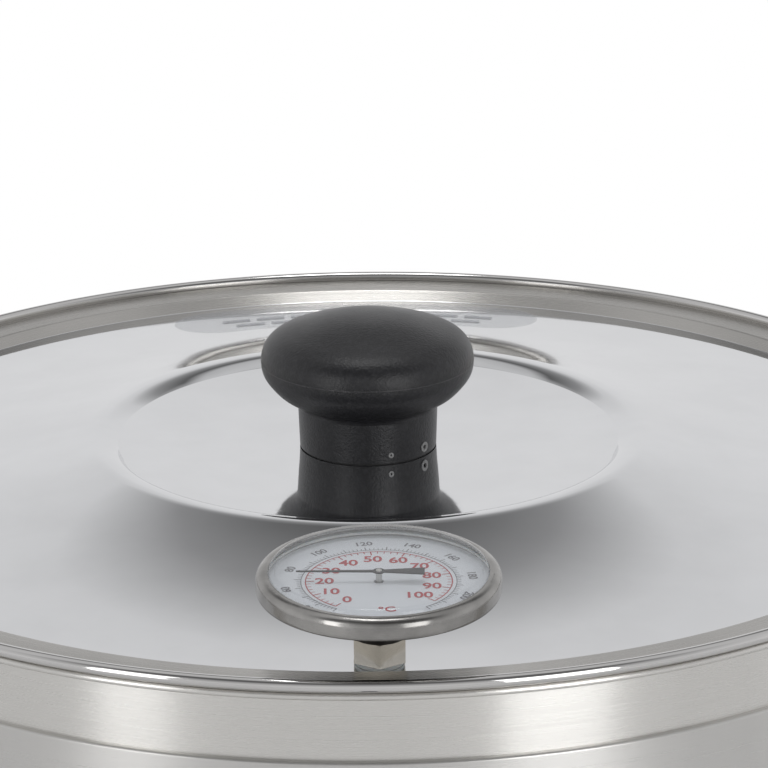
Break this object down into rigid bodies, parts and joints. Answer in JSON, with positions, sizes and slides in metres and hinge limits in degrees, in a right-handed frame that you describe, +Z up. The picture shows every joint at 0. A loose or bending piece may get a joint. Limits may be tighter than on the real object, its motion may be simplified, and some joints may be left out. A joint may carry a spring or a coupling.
{
  "type": "electric canning urn",
  "caption": "Twin-skin stainless canning urn with a polished lid, black knob, lid-mounted dial thermometer, front tap, side handles and a lift-out jar rack.",
  "frame": {"origin": "on the floor at the middle of the foot ring, on the pot's own axis", "axes": "+Z up along the pot's axis; the tap, controls and thermometer face -Y; +X to the right seen from the front"},
  "size_m": [0.444, 0.4575, 0.4357],
  "materials": {
    "polished_stainless": "mirror-polished pressing with a brushed flange",
    "brushed_stainless": "brushed round the pot",
    "satin_stainless": "satin, drawn round the shell",
    "phenolic": "fine-grained black phenolic",
    "black_plastic": "fine-textured moulded black plastic",
    "zinc_steel": "zinc-plated",
    "worn_bezel": "tumbled and worn",
    "nickel_brass": "nickel-plated brass",
    "brass": "turned brass",
    "chromed_brass": "bright chromium plate",
    "silicone": "translucent white silicone",
    "red_silicone": "red silicone",
    "foot_rubber": "moulded black rubber",
    "clear_glass": "flat clear glass",
    "dial_white": "satin white enamel with printed scales",
    "needle_black": "matt black paint",
    "lamp": "translucent moulded lens",
    "rocker": "glossy moulded rocker",
    "fascia": "dark grey moulded panel",
    "wool": "mineral wool blanket",
    "heater_alloy": "cast aluminium",
    "element_sheath": "heat-dulled sheath",
    "bimetal": "rolled bimetal strip",
    "ceramic_white": "glazed steatite"
  },
  "bodies": {
    "urn": {"inner_tank": "brushed_stainless", "outer_shell": "satin_stainless", "insulation_jacket": "wool", "handle_left": "phenolic", "handle_right": "phenolic", "handle_backings": "zinc_steel", "handle_screws": "zinc_steel", "tap_body": "chromed_brass", "tap_outer_seal": "red_silicone", "tap_inner_seal": "red_silicone", "tap_nut": "chromed_brass", "tap_bonnet": "chromed_brass", "tap_pin": "zinc_steel", "base_skirt": "black_plastic", "support_ring": "zinc_steel", "bottom_plate": "zinc_steel", "base_screws": "zinc_steel", "foot_ring": "foot_rubber", "foot_screws": "zinc_steel", "foot_nuts": "zinc_steel", "heater_plate": "heater_alloy", "heating_element": "element_sheath", "boil_dry_cutout": "ceramic_white", "reset_bush": "black_plastic", "control_fascia": "fascia", "thermostat_body": "ceramic_white", "thermostat_nut": "zinc_steel", "pilot_lamps": "lamp", "switch_housing": "black_plastic", "cord_gland": "black_plastic", "gland_nut": "black_plastic", "terminal_block": "ceramic_white"},
    "lid": {"lid_shell": "polished_stainless", "vent_collar": "zinc_steel", "thermometer_fitting": "nickel_brass", "thermometer_gaskets": "silicone", "thermometer_nut": "nickel_brass", "thermometer_stem": "brushed_stainless", "bimetal_coil": "bimetal", "spindle_bush": "brass", "thermometer_case": "worn_bezel", "thermometer_dial": "dial_white", "lens_gasket": "silicone", "thermometer_lens": "clear_glass", "thermometer_bezel": "worn_bezel"},
    "knob": {"lid_knob": "phenolic", "knob_gasket": "foot_rubber", "knob_insert": "brass", "knob_screw": "zinc_steel", "knob_washer": "zinc_steel"},
    "pointer": {"thermometer_pointer": "needle_black", "pointer_spindle": "zinc_steel"},
    "tap_valve": {"tap_stem": "zinc_steel", "tap_seat_cup": "red_silicone"},
    "tap_handle": {"tap_lever": "phenolic"},
    "thermostat_dial": {"thermostat_knob": "black_plastic", "thermostat_shaft": "zinc_steel"},
    "rocker": {"switch_rocker": "rocker"},
    "reset": {"reset_button": "lamp"},
    "rack": {"jar_rack": "brushed_stainless"}
  },
  "joints": [
    {"name": "lid_lift", "type": "slide", "parent": "urn", "child": "lid", "axis": [0, 0, 1], "range_m": [0, 0.16]},
    {"name": "knob_turn", "type": "hinge", "parent": "lid", "child": "knob", "pos_m": [0, 0, 0.4], "axis": [0, 0, 1], "range_deg": [-70, 0]},
    {"name": "pointer_turn", "type": "hinge", "parent": "lid", "child": "pointer", "pos_m": [0.00301, -0.15247, 0.39088], "axis": [0.001, -0.0523, 0.9986], "range_deg": [-220.7, 55.3], "stiffness_Nm_per_rad": 0.0005},
    {"name": "tap_lever_turn", "type": "hinge", "parent": "urn", "child": "tap_handle", "pos_m": [0, -0.217, 0.154], "axis": [1, 0, 0], "range_deg": [0, 25], "stiffness_Nm_per_rad": 0.6, "springref_deg": -5.73},
    {"name": "tap_valve_lift", "type": "slide", "parent": "urn", "child": "tap_valve", "axis": [0, 0, 1], "range_m": [0, 0.0027]},
    {"name": "thermostat_turn", "type": "hinge", "parent": "urn", "child": "thermostat_dial", "pos_m": [0, -0.184, 0.042], "axis": [0, -1, 0], "range_deg": [-270, 0]},
    {"name": "switch_rock", "type": "hinge", "parent": "urn", "child": "rocker", "pos_m": [0.04698, -0.17532, 0.042], "axis": [0.9659, 0.2588, 0], "range_deg": [-16, 0]},
    {"name": "reset_push", "type": "slide", "parent": "urn", "child": "reset", "axis": [0, 0, 1], "range_m": [0, 0.0018], "stiffness_N_per_m": 300, "springref_m": -0.003},
    {"name": "rack_lift", "type": "slide", "parent": "urn", "child": "rack", "axis": [0, 0, 1], "range_m": [0, 0.14]}
  ],
  "couplings": [
    {"joint": "tap_valve_lift", "follows": "tap_lever_turn", "m_per_rad": 0.006}
  ]
}
